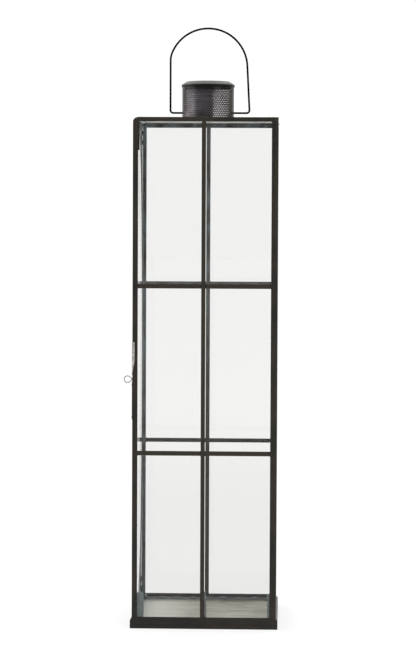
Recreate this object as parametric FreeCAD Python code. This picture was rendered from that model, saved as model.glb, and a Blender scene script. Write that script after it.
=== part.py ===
import FreeCAD, Part
import math
import os

# Hurricane candle lantern: a tall square glass box in leaded-glass style framing, on a low
# plinth, with a side door, a perforated chimney and a wire bail.
# Millimetres. +Z up, -Y front, +X right. Origin at the middle of the plinth's underside.

os.makedirs("parts", exist_ok=True)

V = FreeCAD.Vector

# ---- driving dimensions --------------------------------------------------------------
HALF = 100.0            # half the body's width and depth, to the outer faces
SHEET = 0.6             # frame sheet
GLASS = 1.5             # pane thickness
PLAY = 0.05             # play of a pane on each face
SLOT = GLASS + 2 * PLAY         # channel slot that takes a pane
CHANNEL = 2 * SHEET + SLOT      # full depth of a glazing channel

POST_W = {"left": 7.2, "right": 8.8}    # visible widths of the corner posts
MUNTIN_W = 5.8          # visible width of the vertical muntins
CROSS_W = {"front": 6.3, "back": 5.8}   # visible width of the cross bars
MUNTIN_WEB = 1.5
MUNTIN_X = -2.2         # the vertical muntins stand a little left of the middle
CROSS_Z = {"front": (244.1, 475.6), "back": (244.1, 474.2)}     # lower and upper cross bars

PLINTH_HALF = 102.5
PLINTH_Z = 14.9         # where the plinth's sloped top meets the body
PLINTH_SHOULDER_Z = 11.0
PLINTH_SHEET = 0.8
RAIL_LOW_Z = 10.6       # underside of the bottom rails
RAIL_TOP_Z = 15.6       # top of the bottom rails, sill of the glass
BACK_EXTRA = {"bottom": 1.8, "top": 1.2}    # the back's rails show this much more
FLOOR_Z = 8.5           # top of the floor tray
TRAY_TOP_Z = 12.3       # top of the tray's upturned edges

HEAD_Z = 702.4          # underside of the top rails
ROOF_Z = 708.5          # top of the roof sheet
ROOF_HOLE_R = 33.0

STOP_U = 2.9            # door stop leg, measured in from the body's left face
STOP_DEPTH = 8.8
HEADER_DROP = 7.4       # how far the stop strips reach past the frame above and below the door
SILL_RISE = 4.6
DOOR_PROUD = 0.1        # the door stands this much proud of the left face
DOOR_SHEET = 0.45
DOOR_T = 2 * DOOR_SHEET + SLOT
DOOR_Z = (15.6, 702.1)
DOOR_Y = 99.1           # half the door's width
DOOR_W = 6.8            # width of the door's stiles and rails

HINGE_R = 1.3           # outside radius of the hinge barrels
HINGE_PIN_R = 0.75
HINGE_RUN = 0.05        # running clearance of the turning knuckle
LEAF = 0.5
HINGE_H = 21.0
HINGE_Z = (31.0, 686.5)         # middles of the two hinges
LEAF_Y = (3.4, 8.8)     # the moving leaf, measured from the pin's axis
KNUCKLE_GAP = 0.1
PIN_HEAD_R = 1.1

CHIMNEY_R = 36.6
CHIMNEY_SHEET = 0.6
CHIMNEY_TOP_Z = 757.9
LID_R = 37.75
LID_RIM_Z = (754.1, 758.5)
LID_TOP_Z = 762.5
PLATEAU_R = 30.3

BAIL_R = 1.4            # wire radius
BAIL_RUN = 0.05
BAIL_Z = 718.4          # pivot height
BAIL_ARCH_R = 55.4      # the arch is centred over the chimney
BAIL_ARCH_Z = 782.2
BAIL_SHOULDER_R = 30.4  # tighter bend from the arch into the upright left leg
BAIL_LEFT_X = -53.3
BAIL_RIGHT_X = 58.6     # foot of the right leg, which leans outwards a little
BAIL_CORNER = 4.0
BAIL_FEET_X = (-33.0, 34.6)     # inner ends of the feet, inside the chimney

TONGUE_Z = (352.5, 398.0)
LOOP_Z = 346.5
LOOP_WIRE_R = 0.55
LOOP_R = 4.6            # centreline radius of the pull loop's round end
LOOP_X = -106.7
PLATE_Z = (290.5, 343.0)        # catch plate below the tongue, held by two rivets
RIVET_Z = (294.0, 339.0)
RIVET_Y = -98.2
TONGUE_LIP_X = -96.9    # how far the tongue's front lip reaches over the post
CATCH_BACK_Y = (-93.4, -93.0)   # back edges of the tongue and of the plate
TAB_X = -90.9           # free edge of the retaining tab
TAB_Z = (663.0, 702.0)


# ---- helpers -------------------------------------------------------------------------
def save(name, shape):
    if shape.ShapeType == "Compound" and len(shape.Solids) == 1:
        shape = shape.Solids[0]
    shape.exportStep("parts/" + name + ".step")


def box(x0, x1, y0, y1, z0, z1):
    return Part.makeBox(x1 - x0, y1 - y0, z1 - z0, V(x0, y0, z0))


def face(points):
    """A flat face through the given vectors."""
    return Part.Face(Part.makePolygon(points + [points[0]]))


def tube(r_out, r_in, z0, z1, x=0.0, y=0.0):
    outer = Part.makeCylinder(r_out, z1 - z0, V(x, y, z0))
    return outer.cut(Part.makeCylinder(r_in, z1 - z0 + 2, V(x, y, z0 - 1)))


def turned(shape, quarter):
    """Turn a shape about the Z axis by quarter turns."""
    copy = shape.copy()
    copy.rotate(V(0, 0, 0), V(0, 0, 1), 90 * quarter)
    return copy


def mirrored(shape, normal):
    return shape.mirror(V(0, 0, 0), normal)


def h_section(across):
    """Half-and-half glazing bar section as (across, depth) pairs; depth is measured inwards."""
    a, w = across / 2, MUNTIN_WEB / 2
    return [(-a, 0), (a, 0), (a, SHEET), (w, SHEET), (w, CHANNEL - SHEET), (a, CHANNEL - SHEET),
            (a, CHANNEL), (-a, CHANNEL), (-a, CHANNEL - SHEET), (-w, CHANNEL - SHEET),
            (-w, SHEET), (-a, SHEET)]


# ---- base ----------------------------------------------------------------------------
inner = PLINTH_HALF - PLINTH_SHEET
save("base_plate", box(-inner, inner, -inner, inner, 0, PLINTH_SHEET))
x0, x1, y1 = -HALF + STOP_U + SHEET, HALF - CHANNEL, HALF - CHANNEL
tray = box(x0, x1, -y1, y1, FLOOR_Z - SHEET, TRAY_TOP_Z)
save("floor_sheet", tray.cut(box(x0 + SHEET, x1 - SHEET, -y1 + SHEET, y1 - SHEET, FLOOR_Z, TRAY_TOP_Z)))

skirt_profile = [(PLINTH_HALF, 0), (PLINTH_HALF, PLINTH_SHOULDER_Z - 0.6),
                 (PLINTH_HALF - 0.3, PLINTH_SHOULDER_Z), (HALF + 0.4, PLINTH_Z), (HALF, PLINTH_Z),
                 (HALF, PLINTH_Z - 1.1), (inner, PLINTH_SHOULDER_Z - 0.6), (inner, 0)]
reach = PLINTH_HALF + 1
wedge = face([V(0, 0, -1), V(-reach, -reach, -1), V(reach, -reach, -1)]).extrude(V(0, 0, 30))
skirt = face([V(-reach, -w, z) for w, z in skirt_profile]).extrude(V(2 * reach, 0, 0)).common(wedge)
for quarter, side in enumerate(("front", "right", "back", "left")):
    save("plinth_" + side, turned(skirt, quarter))

# ---- corner posts --------------------------------------------------------------------
post_z = (PLINTH_SHEET, ROOF_Z - SHEET)
c, s, w = CHANNEL, SHEET, POST_W["right"]
two_channel = [(0, 0), (w, 0), (w, s), (c, s), (c, c - s), (w, c - s), (w, c), (c, c), (c, w),
               (c - s, w), (c - s, c), (s, c), (s, w), (0, w)]
u0, u1, w = STOP_U, STOP_U + SHEET, POST_W["left"]
one_channel = [(u0, 0), (w, 0), (w, s), (u1, s), (u1, c - s), (w, c - s), (w, c), (u1, c),
               (u1, STOP_DEPTH), (u0, STOP_DEPTH)]
lapped = [(0, 0)] + one_channel[1:] + [(u0, s), (0, s)]         # laps the door's closing edge


def post(section, side):
    """A front post; side is -1 for the left one and +1 for the right one."""
    pts = [V(side * (HALF - u), -HALF + v, post_z[0]) for u, v in section]
    return face(pts).extrude(V(0, 0, post_z[1] - post_z[0]))


save("post_front_left", post(lapped, -1))
save("post_back_left", mirrored(post(one_channel, -1), V(0, 1, 0)))
save("post_front_right", post(two_channel, 1))
save("post_back_right", mirrored(post(two_channel, 1), V(0, 1, 0)))

# ---- bottom and top rails ------------------------------------------------------------
x_left, x_right = -HALF + POST_W["left"], HALF - POST_W["right"]
top = ROOF_Z - SHEET


def rail(root, lips, x0, x1):
    """A channel along X at the front, its web at height root and its lips ending at lips."""
    web = root + (s if lips > root else -s)
    section = [(0, root), (c, root), (c, lips), (c - s, lips), (c - s, web), (s, web), (s, lips), (0, lips)]
    return face([V(x0, -HALF + v, z) for v, z in section]).extrude(V(x1 - x0, 0, 0))


for name, root, lips, extra in (("bottom", RAIL_LOW_Z, RAIL_TOP_Z, BACK_EXTRA["bottom"]),
                                ("top", top, HEAD_Z, -BACK_EXTRA["top"])):
    save(name + "_rail_front", rail(root, lips, x_left, x_right))
    save(name + "_rail_right", turned(rail(root, lips, -x_right, x_right), 1))
    save(name + "_rail_back", mirrored(rail(root, lips + extra, x_left, x_right), V(0, 1, 0)))

# The door side has a stop strip above and below the door in place of glazing channels.
stop_half = HALF - STOP_DEPTH
left = -HALF
header = box(left, left + SHEET, -HALF + SHEET, HALF, HEAD_Z, top)
header = header.fuse(box(left, left + u0, -HALF + SHEET, HALF, top - SHEET, top))
header = header.fuse(box(left + u0, left + u1, -stop_half, stop_half, HEAD_Z - HEADER_DROP, top))
save("door_header", header.removeSplitter())
sill = box(left, left + u0, -HALF + SHEET, HALF, PLINTH_Z - SHEET, PLINTH_Z)
sill = sill.fuse(box(left + u0, left + u1, -stop_half, stop_half, RAIL_LOW_Z, RAIL_TOP_Z + SILL_RISE))
save("door_sill", sill.removeSplitter())

# ---- muntins, cross bars and their panes -------------------------------------------------
gap = 0.25              # from a pane's edge to the web of its channel
bar_edge = MUNTIN_WEB / 2 + gap
spans = {"left": (x_left, MUNTIN_X - MUNTIN_W / 2), "right": (MUNTIN_X + MUNTIN_W / 2, x_right)}
columns = {"left": (-HALF + u1 + gap, MUNTIN_X - bar_edge),
           "right": (MUNTIN_X + bar_edge, HALF - CHANNEL - gap)}
glass_y = -HALF + SHEET + PLAY

for side in ("front", "back"):
    def save_here(name, shape):
        save(name, shape if side == "front" else mirrored(shape, V(0, 1, 0)))

    z0, z1 = RAIL_TOP_Z, HEAD_Z
    if side == "back":
        z0, z1 = z0 + BACK_EXTRA["bottom"], z1 - BACK_EXTRA["top"]
    muntin = face([V(MUNTIN_X + a, -HALF + v, z0) for a, v in h_section(MUNTIN_W)])
    save_here("muntin_" + side, muntin.extrude(V(0, 0, z1 - z0)))

    z_low, z_high = CROSS_Z[side]
    for level, z in (("lower", z_low), ("upper", z_high)):
        for column, (x0, x1) in spans.items():
            bar = face([V(x0, -HALF + v, z + a) for a, v in h_section(CROSS_W[side])])
            save_here("cross_bar_%s_%s_%s" % (side, level, column), bar.extrude(V(x1 - x0, 0, 0)))

    rows = {"low": (RAIL_LOW_Z + SHEET, z_low - bar_edge), "mid": (z_low + bar_edge, z_high - bar_edge),
            "high": (z_high + bar_edge, top - SHEET - gap)}
    for row, (z0, z1) in rows.items():
        for column, (x0, x1) in columns.items():
            pane = box(x0, x1, glass_y, glass_y + GLASS, z0, z1)
            save_here("pane_%s_%s_%s" % (side, row, column), pane)

side_half = HALF - CHANNEL - gap
save("pane_right", box(HALF - SHEET - PLAY - GLASS, HALF - SHEET - PLAY, -side_half, side_half,
                       RAIL_LOW_Z + SHEET, top - SHEET - gap))

# A small retaining tab is soldered behind the glass at the top of the front left post.
save("pane_tab", box(left + u1, TAB_X, -HALF + CHANNEL, -HALF + CHANNEL + SHEET, *TAB_Z))

# ---- roof, chimney and lid -----------------------------------------------------------
roof = box(-HALF, HALF, -HALF, HALF, top, ROOF_Z)
save("roof_sheet", roof.cut(Part.makeCylinder(ROOF_HOLE_R, 10, V(0, 0, top - 5))))

chimney = tube(CHIMNEY_R, CHIMNEY_R - CHIMNEY_SHEET, ROOF_Z, CHIMNEY_TOP_Z)
drill = Part.makeCylinder(BAIL_R + BAIL_RUN, 4 * CHIMNEY_R, V(-2 * CHIMNEY_R, 0, BAIL_Z), V(1, 0, 0))
save("chimney", chimney.cut(drill))

edge = CHIMNEY_R + PLAY         # inside of the lid's rim, over the chimney
rim_low, rim_top = LID_RIM_Z
arc = Part.Arc(V(LID_R - 0.8, 0, rim_low), V(LID_R, 0, (rim_low + rim_top) / 2),
               V(LID_R - 0.8, 0, rim_top)).toShape()
rest = [V(LID_R - 0.8, 0, rim_top), V(CHIMNEY_R, 0, rim_top + 0.1), V(PLATEAU_R + 0.6, 0, LID_TOP_Z - 0.4),
        V(PLATEAU_R, 0, LID_TOP_Z), V(0, 0, LID_TOP_Z), V(0, 0, LID_TOP_Z - SHEET),
        V(PLATEAU_R - 0.2, 0, LID_TOP_Z - SHEET), V(PLATEAU_R + 0.3, 0, LID_TOP_Z - SHEET - 0.4),
        V(CHIMNEY_R - 0.4, 0, CHIMNEY_TOP_Z), V(edge, 0, CHIMNEY_TOP_Z), V(edge, 0, rim_low),
        V(LID_R - 0.8, 0, rim_low)]
outline = Part.Wire([arc] + Part.makePolygon(rest).Edges)
save("chimney_lid", Part.Face(outline).revolve(V(0, 0, 0), V(0, 0, 1), 360))

# ---- bail ----------------------------------------------------------------------------
def at(x, z):
    return V(x, 0, z)


def polar(cx, cz, r, degrees):
    turn = math.radians(degrees)
    return at(cx + r * math.cos(turn), cz + r * math.sin(turn))


def bend(cx, cz, r, start, end):
    """An arc in the bail's plane, by its centre, radius and end angles in degrees."""
    return Part.Arc(polar(cx, cz, r, start), polar(cx, cz, r, (start + end) / 2),
                    polar(cx, cz, r, end)).toShape()


arch_r, arch_z, k = BAIL_ARCH_R, BAIL_ARCH_Z, BAIL_CORNER
knee_z = BAIL_Z + k
# left: the shoulder bend touches both the arch and the upright leg
slack = (arch_r + BAIL_LEFT_X) / (arch_r - BAIL_SHOULDER_R)
left_turn = 180 - math.degrees(math.acos(1 - slack))
hub = polar(0, arch_z, arch_r - BAIL_SHOULDER_R, left_turn)
# right: the leg runs from its knee up to where it touches the arch
knee = at(BAIL_RIGHT_X, knee_z)
away = math.hypot(knee.x, knee.z - arch_z)
right_turn = math.degrees(math.acos(arch_r / away) + math.atan2(knee.z - arch_z, knee.x))
feet = [at(x, BAIL_Z) for x in BAIL_FEET_X]
path = Part.Wire([
    Part.makeLine(feet[0], at(BAIL_LEFT_X + k, BAIL_Z)),
    bend(BAIL_LEFT_X + k, knee_z, k, 270, 180),
    Part.makeLine(at(BAIL_LEFT_X, knee_z), at(BAIL_LEFT_X, hub.z)),
    bend(hub.x, hub.z, BAIL_SHOULDER_R, 180, left_turn),
    bend(0, arch_z, arch_r, left_turn, right_turn),
    Part.makeLine(polar(0, arch_z, arch_r, right_turn), knee),
    bend(BAIL_RIGHT_X - k, knee_z, k, 0, -90),
    Part.makeLine(at(BAIL_RIGHT_X - k, BAIL_Z), feet[1])])
ring = Part.Wire(Part.makeCircle(BAIL_R, feet[0], V(1, 0, 0)))
bail = path.makePipeShell([ring], True, True)
for foot, inward in zip(feet, (1, -1)):     # peened over inside the chimney
    bail = bail.fuse(Part.makeCylinder(BAIL_R + 0.65, 1.0, foot, V(inward, 0, 0)))
save("bail", bail)

# ---- door ----------------------------------------------------------------------------
dx = left - DOOR_PROUD          # the door's outer face
d, ds, dw = DOOR_T, DOOR_SHEET, DOOR_W
z0, z1 = DOOR_Z
u_section = [(0, 0), (0, d), (dw, d), (dw, d - ds), (ds, d - ds), (ds, ds), (dw, ds), (dw, 0)]
l_section = [(0, 0), (0, d), (ds, d), (ds, ds), (dw, ds), (dw, 0)]
stile = face([V(dx + v, -DOOR_Y + u, z0) for u, v in u_section]).extrude(V(0, 0, z1 - z0))
save("door_stile_front", stile)
stile = face([V(dx + v, DOOR_Y - u, z0) for u, v in l_section]).extrude(V(0, 0, z1 - z0))
save("door_stile_back", stile)
inner_y = DOOR_Y - dw
for name, z, up in (("bottom", z0, 1), ("top", z1, -1)):
    section = face([V(dx + v, -inner_y, z + up * u) for u, v in u_section])
    save("door_rail_" + name, section.extrude(V(0, 2 * inner_y, 0)))
save("door_pane", box(dx + ds + PLAY, dx + ds + PLAY + GLASS, -DOOR_Y + ds + gap, DOOR_Y - ds - gap,
                      z0 + ds, z1 - ds - gap))

# ---- hinges: barrels at the back left corner, leaves on the post's back and on the door
ax, ay = dx - HINGE_R, HALF + HINGE_R
third = HINGE_H / 3
pins = []
for zc, level in zip(HINGE_Z, ("lower", "upper")):
    low_z, high_z = zc - HINGE_H / 2, zc + HINGE_H / 2
    mid = (zc - third / 2, zc + third / 2)

    fixed = box(left + u0, left + w - 0.2, HALF, HALF + LEAF, low_z, high_z)
    moving = box(dx - LEAF, dx, ay - LEAF_Y[1], ay - LEAF_Y[0], low_z, high_z)
    for a, b in ((low_z, mid[0]), (mid[1], high_z)):
        fixed = fixed.fuse(box(ax, left + u0, HALF, HALF + LEAF, a, b))
        fixed = fixed.fuse(Part.makeCylinder(HINGE_R, b - a, V(ax, ay, a)))
    knuckle = (mid[0] + KNUCKLE_GAP, mid[1] - KNUCKLE_GAP)
    moving = moving.fuse(box(dx - LEAF, dx, ay - LEAF_Y[0], ay, *knuckle))
    moving = moving.fuse(Part.makeCylinder(HINGE_R, knuckle[1] - knuckle[0], V(ax, ay, knuckle[0])))

    bore = Part.makeCylinder(HINGE_PIN_R, HINGE_H + 4, V(ax, ay, low_z - 2))
    wide = Part.makeCylinder(HINGE_PIN_R + HINGE_RUN, HINGE_H + 4, V(ax, ay, low_z - 2))
    save("hinge_%s_fixed" % level, fixed.cut(bore).removeSplitter())
    save("hinge_%s_moving" % level, moving.cut(wide).removeSplitter())
    pin = Part.makeCylinder(HINGE_PIN_R, HINGE_H + 1.0, V(ax, ay, low_z - 0.5))
    pin = pin.fuse(Part.makeCylinder(PIN_HEAD_R, 0.6, V(ax, ay, high_z)))
    pins.append(pin.removeSplitter())
save("hinge_pins", Part.makeCompound(pins))

# ---- catch tongue and pull loop, both on the door's front stile -------------------------
tz0, tz1 = TONGUE_Z
front_y = -HALF - 0.2           # back of the lip that laps the post's front face
back_y, plate_back_y = CATCH_BACK_Y
side_leaf = [V(dx - LEAF, front_y - LEAF, tz1), V(dx - LEAF, back_y, tz1), V(dx - LEAF, back_y, tz0 + 16),
             V(dx - LEAF, back_y - 2, tz0 + 6), V(dx - LEAF, front_y - LEAF, tz0)]
tongue = face(side_leaf).extrude(V(LEAF, 0, 0))
lip = [V(dx - LEAF, front_y, tz1), V(TONGUE_LIP_X, front_y, tz1), V(TONGUE_LIP_X, front_y, tz0 + 20),
       V(dx - LEAF + 0.1, front_y, tz0)]
tongue = tongue.fuse(face(lip).extrude(V(0, -LEAF, 0)))
save("catch_tongue", tongue.removeSplitter())

plate = box(dx - LEAF, dx, -HALF + 0.4, plate_back_y, *PLATE_Z)
rivets = []
for z in RIVET_Z:
    head = Part.makeSphere(1.6, V(dx - LEAF + 0.6, RIVET_Y, z)).common(
        box(dx - LEAF - 2, dx - LEAF, RIVET_Y - 2, RIVET_Y + 2, z - 2, z + 2))
    shank = Part.makeCylinder(0.6, LEAF, V(dx - LEAF, RIVET_Y, z), V(1, 0, 0))
    plate = plate.cut(shank)
    rivets.append(head.fuse(shank).removeSplitter())
save("catch_plate", plate)
save("catch_rivets", Part.makeCompound(rivets))

loop_y = -98.0


def on_loop(x, z):
    return V(x, loop_y, LOOP_Z + z)


root_z = 0.65           # half the spacing of the two wire ends at the door
span = dx - LOOP_X
# tangent from the wire's root to the round end
reach_r = math.hypot(span, root_z)
turn = math.acos(LOOP_R / reach_r) + math.atan2(root_z, span)
tx, tz = LOOP_X + LOOP_R * math.cos(turn), LOOP_R * math.sin(turn)
loop_path = Part.Wire([
    Part.makeLine(on_loop(dx, root_z), on_loop(tx, tz)),
    Part.Arc(on_loop(tx, tz), on_loop(LOOP_X - LOOP_R, 0), on_loop(tx, -tz)).toShape(),
    Part.makeLine(on_loop(tx, -tz), on_loop(dx, -root_z))])
heading = on_loop(tx, tz) - on_loop(dx, root_z)
wire = Part.Wire(Part.makeCircle(LOOP_WIRE_R, on_loop(dx, root_z), heading))
loop = loop_path.makePipeShell([wire], True, True)
loop = loop.fuse(Part.makeCylinder(1.5, 1.2, V(dx, loop_y, LOOP_Z), V(-1, 0, 0)))
loop = loop.common(box(-150, dx, -110, -80, LOOP_Z - 20, LOOP_Z + 20))
save("pull_loop", loop.removeSplitter())
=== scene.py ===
import bmesh
import bpy
import math
from mathutils import Matrix, Vector, noise


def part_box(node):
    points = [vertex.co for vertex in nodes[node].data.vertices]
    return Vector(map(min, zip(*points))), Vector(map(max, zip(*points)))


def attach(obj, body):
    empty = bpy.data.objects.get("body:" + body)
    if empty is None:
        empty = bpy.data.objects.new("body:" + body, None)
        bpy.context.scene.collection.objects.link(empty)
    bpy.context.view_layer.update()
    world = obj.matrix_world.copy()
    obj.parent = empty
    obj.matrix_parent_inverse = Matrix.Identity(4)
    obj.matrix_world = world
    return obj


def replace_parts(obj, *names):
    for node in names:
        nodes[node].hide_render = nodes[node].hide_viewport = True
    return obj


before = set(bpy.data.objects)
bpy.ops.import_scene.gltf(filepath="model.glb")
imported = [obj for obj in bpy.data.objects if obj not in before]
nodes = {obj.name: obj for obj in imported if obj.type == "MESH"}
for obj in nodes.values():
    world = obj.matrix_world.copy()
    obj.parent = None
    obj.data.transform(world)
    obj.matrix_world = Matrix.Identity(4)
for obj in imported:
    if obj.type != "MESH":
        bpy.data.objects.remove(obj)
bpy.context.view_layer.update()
scene = bpy.context.scene
scene.view_settings.view_transform = "Standard"
MM = 0.001


# ---- materials -----------------------------------------------------------------------
class Material:
    """A node material being built. Inputs take a plain value or another node's output."""

    def __init__(self, name, world=None):
        owner = world or bpy.data.materials.new(name)
        owner.use_nodes = True
        self.data = owner
        self.tree = owner.node_tree
        self.tree.nodes.clear()

    def add(self, kind, inputs=(), **settings):
        node = self.tree.nodes.new("ShaderNode" + kind)
        for key, value in settings.items():
            setattr(node, key, value)
        for key, value in dict(inputs).items():
            if isinstance(value, bpy.types.NodeSocket):
                self.tree.links.new(value, node.inputs[key])
            elif isinstance(value, tuple) and len(value) == 3 and len(node.inputs[key].default_value) == 4:
                node.inputs[key].default_value = (*value, 1)
            else:
                node.inputs[key].default_value = value
        return node

    def math(self, operation, a, b=0.0):
        return self.add("Math", {0: a, 1: b}, operation=operation).outputs[0]

    def vector(self, operation, a, b=(0, 0, 0)):
        node = self.add("VectorMath", {0: a, 1: b}, operation=operation)
        return node.outputs["Value" if operation == "DOT_PRODUCT" else "Vector"]

    def span(self, value, low, high):
        """0 at low and beyond it, 1 at high and beyond it, smooth between; low may be the larger."""
        return self.add("MapRange", {"Value": value, "From Min": low, "From Max": high},
                        interpolation_type="SMOOTHSTEP").outputs[0]

    def mix(self, factor, a, b):
        node = self.add("Mix", {0: factor, 6: a, 7: b}, data_type="RGBA")
        return node.outputs[2]

    def where(self):
        """The point on the piece, in metres, in the piece's own frame."""
        return self.add("TexCoord").outputs["Object"]

    def normal(self):
        return self.add("TexCoord").outputs["Normal"]

    def noise(self, scale, detail=3.0, stretch=(1, 1, 1), roughness=0.5, shift=(0, 0, 0)):
        at = self.vector("MULTIPLY", self.where(), stretch)
        at = self.vector("ADD", at, shift)
        return self.add("TexNoise", {"Vector": at, "Scale": scale, "Detail": detail,
                                     "Roughness": roughness}).outputs[0]

    def edges(self, radius):
        """1 along convex and concave edges, 0 on flat faces."""
        soft = self.add("Bevel", {"Radius": radius}, samples=6).outputs[0]
        hard = self.add("NewGeometry").outputs["Normal"]
        return self.span(self.vector("DOT_PRODUCT", soft, hard), 0.995, 0.86)

    def bump(self, height, distance, strength=1.0):
        return self.add("Bump", {"Height": height, "Distance": distance, "Strength": strength}).outputs[0]

    def finish(self, shader, background=False):
        kind = "OutputWorld" if background else "OutputMaterial"
        self.tree.links.new(shader.outputs[0], self.add(kind).inputs["Surface"])
        return self.data


BLACK, BLACK_WARM = (0.0075, 0.0058, 0.0040), (0.0225, 0.0172, 0.0100)
BROWN = (0.095, 0.062, 0.036)
ZINC, ZINC_DARK = (0.155, 0.18, 0.187), (0.035, 0.037, 0.035)
ZINC_BRIGHT, ZINC_DULL = (0.66, 0.66, 0.63), (0.40, 0.41, 0.39)
ZINC_PALE = (0.62, 0.62, 0.57)
NEAR_BLACK, SOOT_AND_SHADE_DEEP = (0.016, 0.015, 0.014), (0.008, 0.008, 0.008)
RUST_AND_SHADE, PAINTED_LIGHT_STEEL = (0.058, 0.047, 0.036), (0.60, 0.56, 0.56)


def lacquer(name, inside=None, brown=0.35, rough=0.42, tone_shift=0.0, specular=0.34, bare=(0.12, 0.75),
            grain=(1, 1, 0.06)):
    """Dark baked finish over sheet iron, worn brown on its edges.

    inside="walls" leaves the faces towards the candle thinly coated zinc, more so higher up
    (bare: the share of zinc at the foot, and what is added by the top);
    inside="under" leaves the underside bare zinc.
    """
    m = Material(name)
    blotch = m.noise(22, 4)
    fine = m.noise(420, 5, roughness=0.65)
    streak = m.noise(260, 4, stretch=grain)
    tone = m.math("ADD", m.math("MULTIPLY", blotch, 0.6), m.math("MULTIPLY", streak, 0.4))
    tone = m.math("ADD", tone, tone_shift)
    base = m.mix(m.span(tone, 0.38, 0.64), BLACK, BLACK_WARM)
    wear = m.math("MULTIPLY", m.edges(0.0011), m.span(m.noise(150, 4), 0.42, 0.6))
    speck = m.math("MULTIPLY", m.span(fine, 0.62, 0.72), 0.3)
    base = m.mix(m.math("MULTIPLY", m.math("MAXIMUM", wear, speck), brown), base, BROWN)
    if inside == "walls":
        facing = m.vector("DOT_PRODUCT", m.vector("MULTIPLY", m.where(), (-10, -10, 0)), m.normal())
        height = m.add("SeparateXYZ", {0: m.where()}).outputs["Z"]
        cover = m.math("MULTIPLY", m.span(height, 0.20, 0.62), bare[1])
        patch = m.span(m.noise(70, 4, roughness=0.5, stretch=(1, 1, 0.4), shift=(3, 1, 0)), 0.25, 0.75)
        cover = m.math("MULTIPLY", m.math("ADD", cover, bare[0]), m.span(facing, 0.45, 0.75))
        base = m.mix(cover, base, m.mix(patch, ZINC_DARK, ZINC))
    elif inside == "under":
        facing = m.vector("DOT_PRODUCT", (0, 0, -1), m.normal())
        patch = m.span(m.noise(60, 5, roughness=0.6, shift=(3, 1, 0)), 0.36, 0.66)
        base = m.mix(m.span(facing, 0.45, 0.75), base, m.mix(patch, ZINC_DULL, ZINC_BRIGHT))
    shader = m.add("BsdfPrincipled", {
        "Base Color": base,
        "Roughness": m.math("ADD", m.math("MULTIPLY", fine, 0.22), rough - 0.11),
        "Specular IOR Level": specular,
        "Normal": m.bump(m.math("ADD", fine, m.math("MULTIPLY", streak, 0.5)), 0.00006)})
    return m.finish(shader)


def gunmetal(name, dark, light, rough=0.27, rust=0.5, inside_within=0.0, black_below=0.0,
             lid_shadow_above=1.0, brown_and_shade_right=0.0):
    """Dark oxidised steel sheet, its bloom uneven and brown in patches.

    Nearer the upright axis than inside_within metres, on the inside, it is sooty and darkened further as
    painted shade, with a painted patch of light towards +X.
    Lower than black_below metres it is nearly black, and above lid_shadow_above it is darkened by a
    painted shadow of the lid.
    brown_and_shade_right is how brown and dark it is on the side towards +X: partly a real brown tint,
    partly painted shade.
    """
    m = Material(name)
    blotch = m.noise(30, 4)
    band = m.noise(420, 3, stretch=(0.05, 0.05, 1), shift=(0, 0, 2))
    fine = m.noise(500, 4, roughness=0.6)
    base = m.mix(m.span(m.math("ADD", m.math("MULTIPLY", blotch, 0.6), m.math("MULTIPLY", band, 0.4)),
                        0.36, 0.64), dark, light)
    patch = m.math("MULTIPLY", m.span(m.noise(45, 5, shift=(5, 3, 1)), 0.5, 0.7), rust)
    at = m.add("SeparateXYZ", {0: m.where()}).outputs
    # towards +X: a brown tint, and darker as painted shade
    side = m.math("MULTIPLY", m.span(at["X"], 0.020, 0.031), brown_and_shade_right)
    base = m.mix(m.math("MAXIMUM", patch, side), base, RUST_AND_SHADE)
    flat = m.vector("MULTIPLY", m.where(), (1, 1, 0))
    radius = m.math("SQRT", m.vector("DOT_PRODUCT", flat, flat))
    # on the inside: soot darkened further as painted shade, and a painted patch of light towards +X
    inner = m.span(radius, inside_within + 0.0001, inside_within)
    bare = m.math("MULTIPLY", m.span(at["X"], 0.003, 0.008), m.span(at["X"], 0.030, 0.014))
    base = m.mix(inner, base, m.mix(bare, SOOT_AND_SHADE_DEEP, PAINTED_LIGHT_STEEL))
    low = m.span(at["Z"], black_below + 0.0014, black_below)
    base = m.mix(low, base, NEAR_BLACK)
    # painted shadow of the lid: the band just under the lid's rim is darkened
    lid_shadow = m.span(at["Z"], lid_shadow_above, lid_shadow_above + 0.004)
    base = m.mix(m.math("MULTIPLY", lid_shadow, 0.9), base, NEAR_BLACK)
    shader = m.add("BsdfPrincipled", {
        "Base Color": base,
        "Metallic": m.math("SUBTRACT", 0.9, m.math("MULTIPLY", inner, 0.6)),
        "Roughness": m.math("ADD", m.math("MULTIPLY", band, 0.2), rough - 0.1),
        "Normal": m.bump(m.math("ADD", fine, m.math("MULTIPLY", band, 0.6)), 0.00007)})
    return m.finish(shader)


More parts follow.
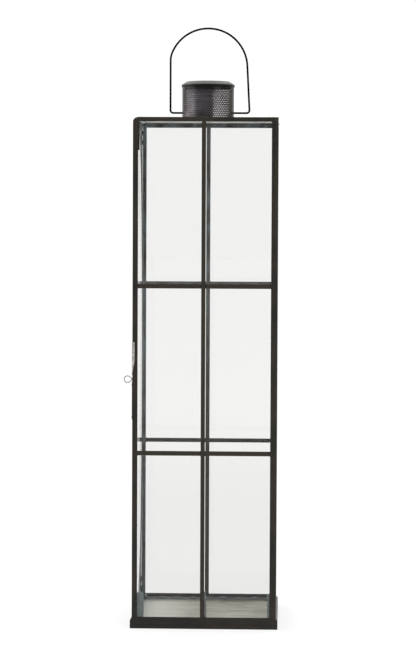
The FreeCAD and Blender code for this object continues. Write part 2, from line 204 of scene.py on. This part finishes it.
def zinc_sheet(name, light, dark, scale=1.0, rough=0.5, paler_left=0.0):
    """Galvanised sheet, dulled and streaked along X."""
    m = Material(name)
    cells = m.add("TexVoronoi", {"Vector": m.where(), "Scale": 140.0 * scale}, feature="F1")
    spangle = m.add("SeparateColor", {0: cells.outputs["Color"]}).outputs[0]
    streak = m.noise(60 * scale, 5, stretch=(0.25, 2.0, 2.0), roughness=0.6)
    blotch = m.noise(16 * scale, 4, stretch=(0.8, 1.6, 1), shift=(7, 2, 0))
    tone = m.math("ADD", m.math("MULTIPLY", streak, 0.55), m.math("MULTIPLY", blotch, 0.45))
    tone = m.math("ADD", tone, m.math("MULTIPLY", spangle, 0.05))
    base = m.mix(m.span(tone, 0.38, 0.66), dark, light)
    left = m.span(m.add("SeparateXYZ", {0: m.where()}).outputs["X"], 0.0, -0.08)
    base = m.mix(m.math("MULTIPLY", left, paler_left), base, ZINC_PALE)
    upright = m.span(m.vector("DOT_PRODUCT", (0, 0, 1), m.normal()), 0.7, 0.3)
    base = m.mix(m.math("MULTIPLY", upright, 0.8), base, ZINC)
    grain = m.noise(700, 3)
    shader = m.add("BsdfPrincipled", {
        "Base Color": base,
        "Metallic": 0.35,
        "Roughness": m.math("ADD", m.math("MULTIPLY", streak, 0.25), rough - 0.12),
        "Normal": m.bump(m.math("ADD", grain, m.math("MULTIPLY", blotch, 3)), 0.00004)})
    return m.finish(shader)


def steel(name, light, dark, rough, metallic=1.0):
    """Bare wire or stampings, with fine draw marks and tarnish."""
    m = Material(name)
    tarnish = m.noise(180, 5, roughness=0.6)
    draw = m.noise(900, 3, stretch=(1, 1, 0.3))
    base = m.mix(m.span(tarnish, 0.35, 0.65), dark, light)
    shader = m.add("BsdfPrincipled", {
        "Base Color": base,
        "Metallic": metallic,
        "Roughness": m.math("ADD", m.math("MULTIPLY", draw, 0.2), rough - 0.1),
        "Normal": m.bump(draw, 0.00003)})
    return m.finish(shader)


def glass(name, tint):
    """Thin clear float glass, a little grey, with a very slight waviness, and a darker tint low down that
    is painted shade.
    """
    m = Material(name)
    low = m.span(m.add("SeparateXYZ", {0: m.where()}).outputs["Z"], 0.32, 0.14)
    wave = m.noise(9, 2, stretch=(1, 1, 0.5))
    tint_and_shade = m.mix(m.noise(14, 3), tint, tuple(c + 0.008 for c in tint))
    # darker low down: painted shade
    tint_and_shade = m.mix(low, tint_and_shade, tuple(c * 0.955 for c in tint))
    clear = m.add("BsdfPrincipled", {
        "Base Color": tint_and_shade, "Roughness": 0.0, "IOR": 1.27, "Transmission Weight": 1.0,
        "Normal": m.bump(wave, 0.0004, 0.25)})
    through = m.add("BsdfTransparent", {"Color": (0.93, 0.935, 0.93)})
    shadow = m.add("LightPath").outputs["Is Shadow Ray"]
    shader = m.add("MixShader", {0: shadow, 1: clear.outputs[0], 2: through.outputs[0]})
    return m.finish(shader)


ZINC_EDGE = zinc_sheet("zinc_edge", (0.30, 0.33, 0.335), (0.15, 0.17, 0.17), scale=2.0, rough=0.45)
LACQUER = lacquer("lacquer", inside="walls")
LACQUER_OUT = lacquer("lacquer_plain", grain=(0.04, 0.04, 1), tone_shift=-0.05)
ROOF = lacquer("lacquer_roof", inside="under", brown=0.25, tone_shift=-0.12, grain=(0.04, 0.04, 1))
POST_BACK = lacquer("lacquer_worn", inside="walls", bare=(0.95, 0.0))
BARS = lacquer("lacquer_bars", inside="walls", brown=1.0, tone_shift=0.18, bare=(0.0, 0.8))
CHIMNEY = gunmetal("chimney_metal", (0.058, 0.053, 0.056), (0.150, 0.137, 0.152), rough=0.33,
                   inside_within=0.0361, lid_shadow_above=0.7475, brown_and_shade_right=0.85)
LID = gunmetal("lid_metal", (0.085, 0.086, 0.080), (0.150, 0.153, 0.142), rough=0.42, rust=0.2,
               black_below=0.7569)
FLOOR_ZINC = zinc_sheet("zinc_floor", (0.40, 0.38, 0.31), (0.15, 0.143, 0.115), paler_left=0.8)
SOLDER = zinc_sheet("zinc_solder", (0.24, 0.26, 0.26), (0.10, 0.11, 0.11), scale=3.0, rough=0.4)
WIRE = lacquer("wire_dark", brown=0.15, rough=0.8, tone_shift=-0.15, specular=0.02)
STEEL = steel("steel_bright", (0.62, 0.60, 0.57), (0.42, 0.40, 0.37), 0.35)
STEEL_DULL = steel("steel_dull", (0.20, 0.19, 0.18), (0.11, 0.105, 0.10), 0.45)
GLASS = glass("glass_clear", (0.930, 0.932, 0.925))

for name, node in nodes.items():
    if name.startswith("pane_") and name != "pane_tab" or name == "door_pane":
        look = GLASS
    elif name == "floor_sheet":
        look = FLOOR_ZINC
    elif name in ("door_stile_back", "door_sill"):
        look = ZINC_EDGE
    elif name == "roof_sheet":
        look = ROOF
    elif name in ("catch_tongue", "catch_rivets", "hinge_pins"):
        look = STEEL
    elif name == "pull_loop":
        look = STEEL_DULL
    elif name == "bail":
        look = WIRE
    elif name.startswith(("plinth", "base")):
        look = LACQUER_OUT
    elif name == "chimney_lid":
        look = LID
    elif name == "post_back_left":
        look = POST_BACK
    elif name.startswith(("muntin", "cross_bar")):
        look = BARS
    else:
        look = LACQUER
    node.data.materials.clear()
    node.data.materials.append(look)
    if look is not GLASS and not name.startswith("chimney"):
        weld = node.modifiers.new("weld", "WELD")
        weld.merge_threshold = 1e-6
        soft = node.modifiers.new("soft_edges", "BEVEL")
        soft.width = 0.15 * MM
        soft.segments = 2
        soft.limit_method = "ANGLE"
        soft.angle_limit = math.radians(40)


# ---- meshes --------------------------------------------------------------------------
def place(name, mesh, body):
    """Puts a finished mesh in the scene as a piece that rides on a body."""
    made = bpy.data.objects.new(name, mesh)
    scene.collection.objects.link(made)
    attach(made, body)
    return made


def piece(name, verts, faces, look, body):
    mesh = bpy.data.meshes.new(name)
    mesh.from_pydata(verts, [], faces)
    mesh.materials.append(look)
    mesh.validate()
    mesh.update()
    return place(name, mesh, body)


# ---- chimney -------------------------------------------------------------------------
HOLES_ROUND = 76
HOLE_R = 0.88 * MM
BAIL_HOLE_R = 1.47 * MM
BAIL_R = 1.4 * MM
ROWS_BELOW, ROWS_ABOVE = 2, 13
WALL = 0.6 * MM
PLAIN = (-30 * MM, 6.5 * MM)    # at the back, the sheet's lap between these is not perforated

lo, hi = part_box("chimney")
r_out = (hi.x - lo.x) / 2
bail_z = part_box("bail")[0].z + BAIL_R
pitch = 2 * math.pi * r_out / HOLES_ROUND
row_step = pitch * math.sqrt(3) / 2
quarter = pitch / 4
# a hexagon cell's outline, counter-clockwise, as (quarter pitches across, height)
HEX = [(2, 0.0), (2, pitch / math.sqrt(12)), (1, pitch * math.sqrt(3) / 4), (0, pitch / math.sqrt(3)),
       (-1, pitch * math.sqrt(3) / 4), (-2, pitch / math.sqrt(12))]
HEX += [(-a, -b) for a, b in HEX]

verts, faces, shared = [], [], {}


def on_wall(across, z, r):
    """A point on the cylinder, at a distance round it in pitches / 4, from +X."""
    turn = 2 * math.pi * across / (4 * HOLES_ROUND)
    return (r * math.cos(turn), r * math.sin(turn), z)


def vertex(across, z, r):
    verts.append(on_wall(across, z, r))
    return len(verts) - 1


def joined(across, z, r):
    key = (across % (4 * HOLES_ROUND), round(z * 1e7), round(r * 1e7))
    if key not in shared:
        shared[key] = vertex(across, z, r)
    return shared[key]


def strip(lower, upper):
    """Quads between two closed rows of vertices."""
    for i in range(len(lower)):
        j = (i + 1) % len(lower)
        faces.append((lower[i], lower[j], upper[j], upper[i]))


r_in = r_out - WALL
for row in range(-ROWS_BELOW, ROWS_ABOVE + 1):
    z = bail_z + row * row_step
    for cell in range(HOLES_ROUND):
        centre = 4 * cell + 2 * (row % 2)
        is_bail = row == 0 and cell % (HOLES_ROUND // 2) == 0
        rim = BAIL_HOLE_R if is_bail else HOLE_R
        x, y, _ = on_wall(centre, z, r_out)
        if y > 0 and PLAIN[0] < x < PLAIN[1] and not is_bail:
            for r, step in ((r_out, 1), (r_in, -1)):
                faces.append(tuple(joined(centre + a, z + b, r) for a, b in HEX)[::step])
            continue
        loops = []
        for r in (r_out, r_in):
            outline = [joined(centre + a, z + b, r) for a, b in HEX]
            circle = []
            for a, b in HEX:
                turn = math.atan2(b, a * quarter)
                circle.append(vertex(centre + rim * math.cos(turn) / quarter, z + rim * math.sin(turn), r))
            loops.append((outline, circle))
        strip(loops[0][0], loops[0][1])
        strip(loops[1][1], loops[1][0])
        strip(loops[0][1], loops[1][1])

# how far a row of cells reaches past its holes' centres, at each quarter pitch from a cell's middle
CELL_RISE = (pitch / math.sqrt(3), pitch * math.sqrt(3) / 4,
             pitch / math.sqrt(12), pitch * math.sqrt(3) / 4)
for top, row in ((False, -ROWS_BELOW), (True, ROWS_ABOVE)):
    z = bail_z + row * row_step
    sign = 1 if top else -1
    end = hi.z if top else lo.z
    ring = []
    for k in range(4 * HOLES_ROUND):
        rise = CELL_RISE[(k - 2 * (row % 2)) % 4]
        ring.append((k, z + sign * rise))
    outer = [joined(k, h, r_out) for k, h in ring]
    inner = [joined(k, h, r_in) for k, h in ring]
    outer_end = [joined(k, end, r_out) for k, _ in ring]
    inner_end = [joined(k, end, r_in) for k, _ in ring]
    rows = [(outer, outer_end), (outer_end, inner_end), (inner_end, inner)]
    for a, b in rows:
        strip(*((a, b) if top else (b, a)))

chimney = piece("chimney_perforated", verts, faces, CHIMNEY, "lantern")
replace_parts(chimney, "chimney")


# ---- thin sheets: the door's pane and the zinc tabs ----------------------------------
def slab(name, surface, nu, nv, look, body):
    """A thin closed sheet. surface(u, v, side) gives its points, u and v from 0 to 1, side 0 or 1."""
    points, quads = [], []
    for side in (0, 1):
        base = len(points)
        points.extend(surface(i / nu, j / nv, side) for j in range(nv + 1) for i in range(nu + 1))
        for j in range(nv):
            for i in range(nu):
                a = base + j * (nu + 1) + i
                quad = (a, a + 1, a + nu + 2, a + nu + 1)
                quads.append(quad if side else quad[::-1])
    rim = [(i, 0) for i in range(nu)] + [(nu, j) for j in range(nv)]
    rim += [(i, nv) for i in range(nu, 0, -1)] + [(0, j) for j in range(nv, 0, -1)]
    base, n = len(points), len(rim)
    points.extend(surface(i / nu, j / nv, side) for side in (0, 1) for i, j in rim)
    quads.extend((base + k, base + (k + 1) % n, base + n + (k + 1) % n, base + n + k) for k in range(n))
    made = piece(name, points, quads, look, body)
    made.data.polygons.foreach_set("use_smooth", [k < 2 * nu * nv for k in range(len(quads))])
    return made


BOW = 4.2 * MM          # the long pane bows a little inwards between its ends
lo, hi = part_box("door_pane")


def door_glass(u, v, side):
    bow = BOW * (1 - (2 * u - 1) ** 2) * (1 - abs(2 * v - 1) ** 2.5)
    return ((lo.x, hi.x)[side] + bow, lo.y + (hi.y - lo.y) * u, lo.z + (hi.z - lo.z) * v)


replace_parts(slab("door_pane_bowed", door_glass, 32, 48, GLASS, "door"), "door_pane")

TAB_T = 0.5 * MM
TAB_TUCK = 7 * MM       # how far a tab goes down behind the sill
# each tab's left, right and top in millimetres, and a number that varies its cut
TABS = {"left": (-96.2, -83.6, 50, 1.3), "right": (88.2, 96.5, 49, 4.1), "middle": (-4.0, 3.2, 52, 7.7)}
tab_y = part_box("pane_tab")[0].y + TAB_T
sill_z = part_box("bottom_rail_front")[1].z


def tab_surface(x0, x1, z0, z1, seed):
    """A hand-cut strip of zinc lying against the inside of the front frame."""
    def surface(u, v, side):
        wave = noise.noise(Vector((seed + round(u) * 5.0, v * 6.0, 0.0))) * 0.9 * MM
        lift = noise.noise(Vector((seed + u * 1.5, v * 5.0, 9.0))) * 0.5 * MM + 0.5 * MM
        cap = noise.noise(Vector((seed, u * 3.0, 4.0))) * 1.5 * MM * v
        return (x0 + (x1 - x0) * u + wave, tab_y + lift - side * TAB_T, z0 + (z1 - z0) * v + cap)
    return surface


for side, (x0, x1, top, seed) in TABS.items():
    surface = tab_surface(x0 * MM, x1 * MM, sill_z - TAB_TUCK, top * MM, seed)
    slab("foot_tab_" + side, surface, 8, 30, ZINC_EDGE, "lantern")


# ---- solder and rivets, in millimetres -----------------------------------------------
def lumps(name, spots, look, body):
    """Uneven blobs of solder in one mesh; each spot is a centre and three radii, in millimetres."""
    mesh = bmesh.new()
    for number, (centre, radii) in enumerate(spots):
        fresh = bmesh.ops.create_icosphere(mesh, subdivisions=3, radius=1.0)["verts"]
        for vert in fresh:
            swell = 1 + 0.28 * noise.noise(vert.co * 1.7 + Vector((number * 3.7, 1.0, 0.0)))
            swell += 0.10 * noise.noise(vert.co * 4.1 + Vector((0.0, number * 2.3, 5.0)))
            vert.co = (Vector(centre) + Vector([c * r * swell for c, r in zip(vert.co, radii)])) * MM
    data = bpy.data.meshes.new(name)
    mesh.to_mesh(data)
    mesh.free()
    data.materials.append(look)
    data.polygons.foreach_set("use_smooth", [True] * len(data.polygons))
    return place(name, data, body)


def middle(node):
    a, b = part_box(node)
    return (a + b) / 2 / MM


roof_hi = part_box("roof_sheet")[1] / MM
edge, roof_z = roof_hi.x, roof_hi.z
spots = [((edge - 2.0, sy * (edge - 1.4), roof_z - 1.9), (2.8, 1.9, 2.1)) for sy in (-1, 1)]
spots += [((-edge + 4.6, sy * (edge - 1.2), roof_z - 3.4), (3.3, 1.6, 2.2)) for sy in (-1, 1)]
spots += [((sx * (edge - inset), -edge + 0.7, roof_z - 0.8), (2.4, 1.0, 1.0))
          for sx, inset in ((-1, 11), (1, 7), (1, 12))]
for side, sy in (("front", -1), ("back", 1)):
    mid = middle("muntin_" + side)
    for level in ("lower", "upper"):
        z = middle("cross_bar_%s_%s_left" % (side, level)).z
        outer = sy * (edge - 0.1)
        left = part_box("cross_bar_%s_%s_left" % (side, level))[0].x / MM
        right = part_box("cross_bar_%s_%s_right" % (side, level))[1].x / MM
        for x in (left, mid.x - 2.9, mid.x + 2.9, right):
            spots.append(((x, outer, z), (2.2, 0.45, 3.2)))
lumps("solder_outside", spots, LACQUER, "lantern")

floor_lo, floor_hi = (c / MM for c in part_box("floor_sheet"))
BEADS, BEAD_INSET = 9, 6    # a row along the back of the floor
spots = []
for k in range(BEADS):
    x = floor_lo.x + BEAD_INSET + k * (floor_hi.x - floor_lo.x - 2 * BEAD_INSET) / (BEADS - 1)
    radii = (4.5 + 2.0 * (k % 3), 1.2, 1.5 + 0.4 * (k % 2))
    spots.append(((x, floor_hi.y - 1.0, floor_hi.z - 0.6), radii))
spots.append(((floor_lo.x + 2.5, floor_hi.y - 2.0, floor_hi.z + 1.5), (4.5, 2.0, 3.6)))
spots.append(((floor_hi.x - 2.5, floor_hi.y - 2.0, floor_hi.z + 0.8), (3.5, 2.0, 2.8)))
lumps("solder_inside", spots, SOLDER, "lantern")

# small rivets hold the lid's rim to the chimney
RIVET_R = 1.2
rivet_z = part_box("chimney_lid")[0].z / MM - 3.0
spots = []
for degrees in (27, 153, 207, 333):
    turn = math.radians(degrees)
    spots.append(((r_out / MM * math.cos(turn), r_out / MM * math.sin(turn), rivet_z), (RIVET_R,) * 3))
lumps("rim_rivets", spots, SOLDER, "lantern")

# a bead of solder closes each mitre of the plinth
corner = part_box("plinth_front")[1].x / MM - 0.75
spots = []
for sx in (-1, 1):
    for sy in (-1, 1):
        for k in range(7):
            spots.append(((sx * corner, sy * corner, 2.0 + 1.6 * k), (0.6, 0.6, 1.2)))
lumps("solder_plinth", spots, LACQUER_OUT, "lantern")

# ---- rolled edge of the roof above the door ------------------------------------------
ROLL_ALONG, ROLL_DOWN, ROLL_BULGE = 6.4, 5.0, 0.7
ROLL_SHEET = 0.6
crest, foot = Vector((-edge + ROLL_ALONG, 0, roof_z)), Vector((-edge, 0, roof_z - ROLL_DOWN))
outwards = Vector((-ROLL_DOWN, 0, ROLL_ALONG)).normalized()


def rolled(u, v, side):
    lift = ROLL_BULGE * math.sin(math.pi * u) - side * ROLL_SHEET
    at = crest.lerp(foot, u) + outwards * lift
    return tuple(Vector((at.x, (2 * v - 1) * (edge - 0.1), at.z)) * MM)


slab("roof_rolled_edge", rolled, 8, 60, ROOF, "lantern")

# the square edge of the frame under the rolled one is cut away
CLEAR = 4.0             # how far the cutter reaches past the frame
profile = [crest, foot, foot + Vector((-CLEAR, 0, 0)), foot + Vector((-CLEAR, 0, ROLL_DOWN + CLEAR)),
           crest + Vector((0, 0, CLEAR))]
points = [tuple((c + Vector((0, y, 0))) * MM) for y in (-edge - CLEAR, edge + CLEAR) for c in profile]
n = len(profile)
sides = [(k, (k + 1) % n, n + (k + 1) % n, n + k) for k in range(n)]
cut_mesh = bpy.data.meshes.new("edge_cut")
cut_mesh.from_pydata(points, [], [tuple(range(n))[::-1], tuple(range(n, 2 * n))] + sides)
cutter = bmesh.new()
cutter.from_mesh(cut_mesh)
bmesh.ops.recalc_face_normals(cutter, faces=cutter.faces)
cutter.to_mesh(cut_mesh)
cutter.free()
cut = bpy.data.objects.new("edge_cut", cut_mesh)
scene.collection.objects.link(cut)
cut.hide_render = True
cut.hide_viewport = True
for name in ("roof_sheet", "post_front_left", "post_back_left", "door_header"):
    trimmed = nodes[name].modifiers.new("rolled_edge", "BOOLEAN")
    trimmed.operation = "DIFFERENCE"
    trimmed.object = cut

# ---- stage, light and camera ---------------------------------------------------------
FLOOR_HALF = 30.0
floor_mesh = bpy.data.meshes.new("floor")
floor_mesh.from_pydata([(-FLOOR_HALF, -FLOOR_HALF, 0), (FLOOR_HALF, -FLOOR_HALF, 0),
                        (FLOOR_HALF, FLOOR_HALF, 0), (-FLOOR_HALF, FLOOR_HALF, 0)], [], [(0, 1, 2, 3)])
floor = bpy.data.objects.new("floor", floor_mesh)
scene.collection.objects.link(floor)
paper = Material("paper")
tone = paper.mix(paper.noise(3, 4), (0.305, 0.305, 0.305), (0.315, 0.315, 0.315))
lit = paper.add("BsdfPrincipled", {"Base Color": tone, "Roughness": 1.0, "Specular IOR Level": 0.0,
                                   "Emission Color": (1, 1, 1), "Emission Strength": 0.69})
floor_mesh.materials.append(paper.finish(lit))

sky = bpy.data.worlds.new("studio")
scene.world = sky
air = Material("studio", world=sky)
heading = air.add("TexCoord").outputs["Generated"]
depth = air.add("SeparateXYZ", {0: heading}).outputs["Y"]
height = air.add("SeparateXYZ", {0: heading}).outputs["Z"]
behind = air.span(depth, -0.15, 0.8)
level = air.math("ADD", air.math("MULTIPLY", behind, 0.745), 0.30)
level = air.math("ADD", level, air.math("MULTIPLY", air.span(height, 0.25, 0.9), 0.80))
air.finish(air.add("Background", {"Color": (1, 1, 1), "Strength": level}), background=True)


def softbox(name, at, aim, width, height, power):
    lamp = bpy.data.lights.new(name, "AREA")
    lamp.shape = "RECTANGLE"
    lamp.size, lamp.size_y, lamp.energy = width, height, power
    made = bpy.data.objects.new(name, lamp)
    made.location = at
    made.rotation_euler = (Vector(aim) - Vector(at)).to_track_quat("-Z", "Y").to_euler()
    scene.collection.objects.link(made)


AIM = (0, 0, 0.6)
softbox("softbox_left", (-2.8, -0.2, 1.3), AIM, 2.6, 1.8, 42)
softbox("softbox_right", (1.9, -1.9, 1.2), AIM, 1.5, 1.6, 11)

CAMERA_AT = (0.1109, -3.3242, 0.5688)
PITCH, YAW, ROLL = (math.radians(a) for a in (2.722, 1.89, 0.245))
camera = bpy.data.objects.new("camera", bpy.data.cameras.new("camera"))
camera.data.lens = 127.63
camera.data.sensor_width = 36.0
ahead = Vector((-math.sin(YAW) * math.cos(PITCH), math.cos(YAW) * math.cos(PITCH), -math.sin(PITCH)))
level_right = Vector((math.cos(YAW), math.sin(YAW), 0))
level_up = level_right.cross(ahead)
right = level_right * math.cos(ROLL) + level_up * math.sin(ROLL)
up = level_up * math.cos(ROLL) - level_right * math.sin(ROLL)
axes = Matrix((right, up, -ahead)).transposed()
camera.matrix_world = Matrix.Translation(CAMERA_AT) @ axes.to_4x4()
scene.collection.objects.link(camera)
scene.camera = camera
